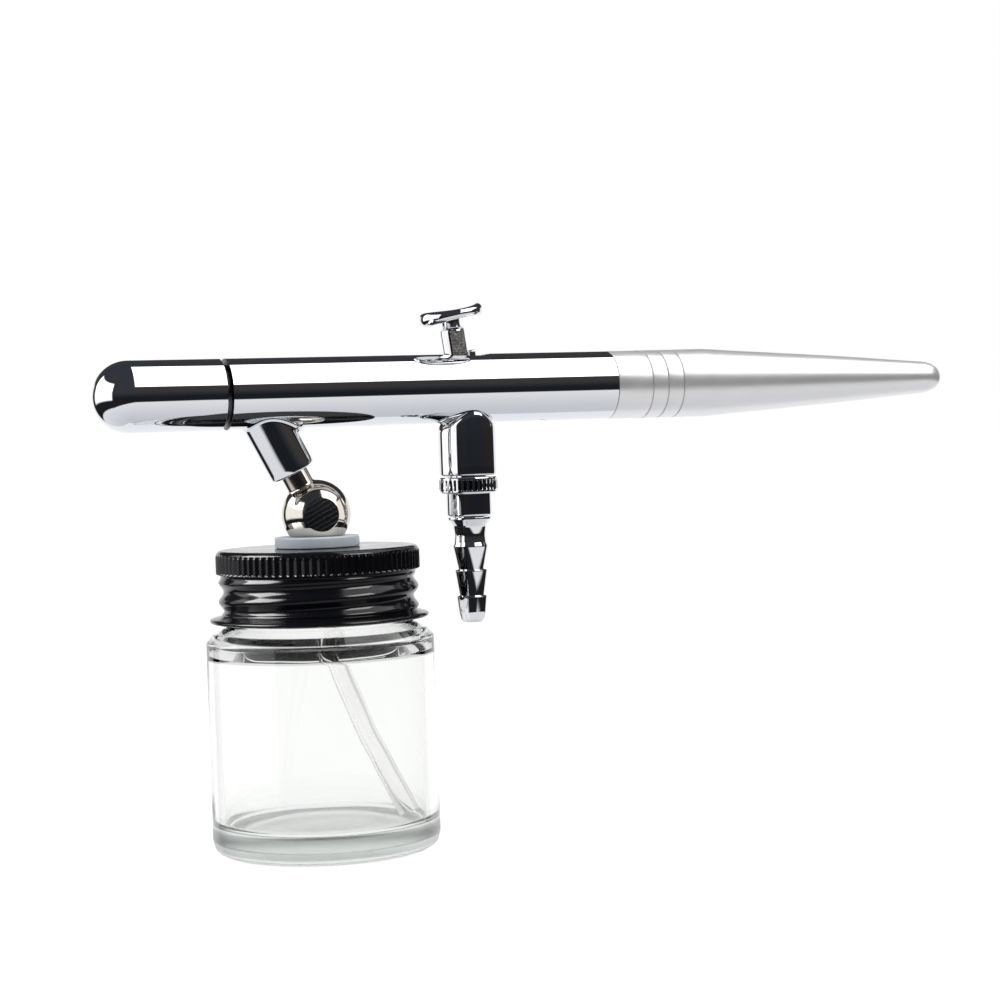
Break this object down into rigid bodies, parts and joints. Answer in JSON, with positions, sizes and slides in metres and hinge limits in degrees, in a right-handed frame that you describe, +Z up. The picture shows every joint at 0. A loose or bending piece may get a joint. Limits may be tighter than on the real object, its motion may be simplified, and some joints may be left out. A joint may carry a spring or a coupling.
{
  "type": "airbrush gun",
  "caption": "Siphon-feed double-action airbrush: chromed gun with a finger trigger, satin tail, hose barb, and a ball adaptor carrying a lidded glass paint jar.",
  "frame": {"origin": "centre of the paint jar's underside, where it stands", "axes": "+X along the gun towards the tail of the handle (the nozzle points to -X), +Z up, +Y across"},
  "size_m": [0.1605, 0.0386, 0.0922],
  "materials": {
    "chrome": "polished chrome plate",
    "nickel": "bright nickel plate, slightly warm",
    "satin_aluminium": "fine satin, clear anodised",
    "stainless": "fine ground",
    "brass": "turned",
    "black_lacquer": "gloss black",
    "jar_glass": "clear, faint green",
    "nylon": "translucent, moulded",
    "seal_rubber": "smooth",
    "white_ptfe": "smooth",
    "clear_tube": "clear, slightly frosted"
  },
  "bodies": {
    "gun": {"barrel": "chrome", "fluid_socket": "chrome", "air_valve_casing": "chrome", "cap_friction_ring": "seal_rubber", "nozzle_holder": "brass", "head_seal": "white_ptfe", "nozzle": "nickel", "needle_packing": "white_ptfe", "packing_screw": "brass", "spring_case": "brass", "needle_spring": "stainless", "air_valve_spring": "stainless", "air_valve_screw": "brass"},
    "protective_cap": {"protective_cap": "chrome"},
    "nozzle_cap": {"nozzle_cap": "chrome"},
    "needle_cap": {"needle_cap": "chrome"},
    "valve_plunger": {"air_valve_plunger": "brass", "air_valve_ring": "seal_rubber"},
    "trigger": {"trigger": "chrome"},
    "trigger_lever": {"trigger_lever": "stainless"},
    "needle_carrier": {"needle": "stainless", "needle_chuck": "brass"},
    "chuck_nut": {"chuck_nut": "nickel"},
    "handle": {"handle": "satin_aluminium"},
    "hose_fitting": {"hose_barb": "chrome", "hose_seal": "seal_rubber"},
    "hose_collar": {"hose_collar": "chrome"},
    "bottle_head": {"bottle_adaptor": "nickel", "adaptor_nut": "nickel", "lid_washer": "nylon", "jar_lid": "black_lacquer", "lid_liner": "white_ptfe", "siphon_tube": "clear_tube"},
    "jar": {"jar": "jar_glass"}
  },
  "joints": [
    {"name": "air_press", "type": "slide", "parent": "gun", "child": "valve_plunger", "axis": [0, 0, -1], "range_m": [0, 0.0018], "stiffness_N_per_m": 1200, "springref_m": -0.002, "deforming": ["air_valve_spring"]},
    {"name": "trigger_pull", "type": "hinge", "parent": "valve_plunger", "child": "trigger", "pos_m": [0.02745, 0, 0.074], "axis": [0, 1, 0], "range_deg": [0, 20]},
    {"name": "lever_rock", "type": "hinge", "parent": "gun", "child": "trigger_lever", "pos_m": [0.03058, 0, 0.0725], "axis": [0, 1, 0], "range_deg": [0, 20]},
    {"name": "needle_draw", "type": "slide", "parent": "gun", "child": "needle_carrier", "axis": [1, 0, 0], "range_m": [0, 0.0017], "stiffness_N_per_m": 1200, "springref_m": -0.003, "deforming": ["needle_spring"]},
    {"name": "chuck_nut_turn", "type": "hinge", "parent": "needle_carrier", "child": "chuck_nut", "pos_m": [0.067, 0, 0.07745], "axis": [1, 0, 0], "continuous": true},
    {"name": "handle_pull", "type": "slide", "parent": "gun", "child": "handle", "axis": [1, 0, 0], "range_m": [0, 0.045]},
    {"name": "cap_pull", "type": "slide", "parent": "gun", "child": "protective_cap", "axis": [-1, 0, 0], "range_m": [0, 0.03]},
    {"name": "nozzle_cap_turn", "type": "hinge", "parent": "gun", "child": "nozzle_cap", "pos_m": [-0.028, 0, 0.07745], "axis": [1, 0, 0], "continuous": true},
    {"name": "needle_cap_turn", "type": "hinge", "parent": "gun", "child": "needle_cap", "pos_m": [-0.0335, 0, 0.07745], "axis": [1, 0, 0], "continuous": true},
    {"name": "hose_fitting_pull", "type": "slide", "parent": "gun", "child": "hose_fitting", "axis": [0, 0, -1], "range_m": [0, 0.012]},
    {"name": "hose_collar_turn", "type": "hinge", "parent": "hose_fitting", "child": "hose_collar", "pos_m": [0.0277, 0, 0.0593], "axis": [0, 0, 1], "continuous": true},
    {"name": "bottle_swivel", "type": "hinge", "parent": "gun", "child": "bottle_head", "pos_m": [0, 0, 0.0568], "axis": [-0.4602, 0, 0.8878], "range_deg": [-30, 30]},
    {"name": "jar_pull", "type": "slide", "parent": "bottle_head", "child": "jar", "axis": [0, 0, -1], "range_m": [0, 0.05], "deforming": ["siphon_tube"]}
  ],
  "couplings": [
    {"joint": "trigger_pull", "follows": "needle_draw", "rad_per_m": 205.3},
    {"joint": "lever_rock", "follows": "needle_draw", "rad_per_m": 205.3}
  ]
}
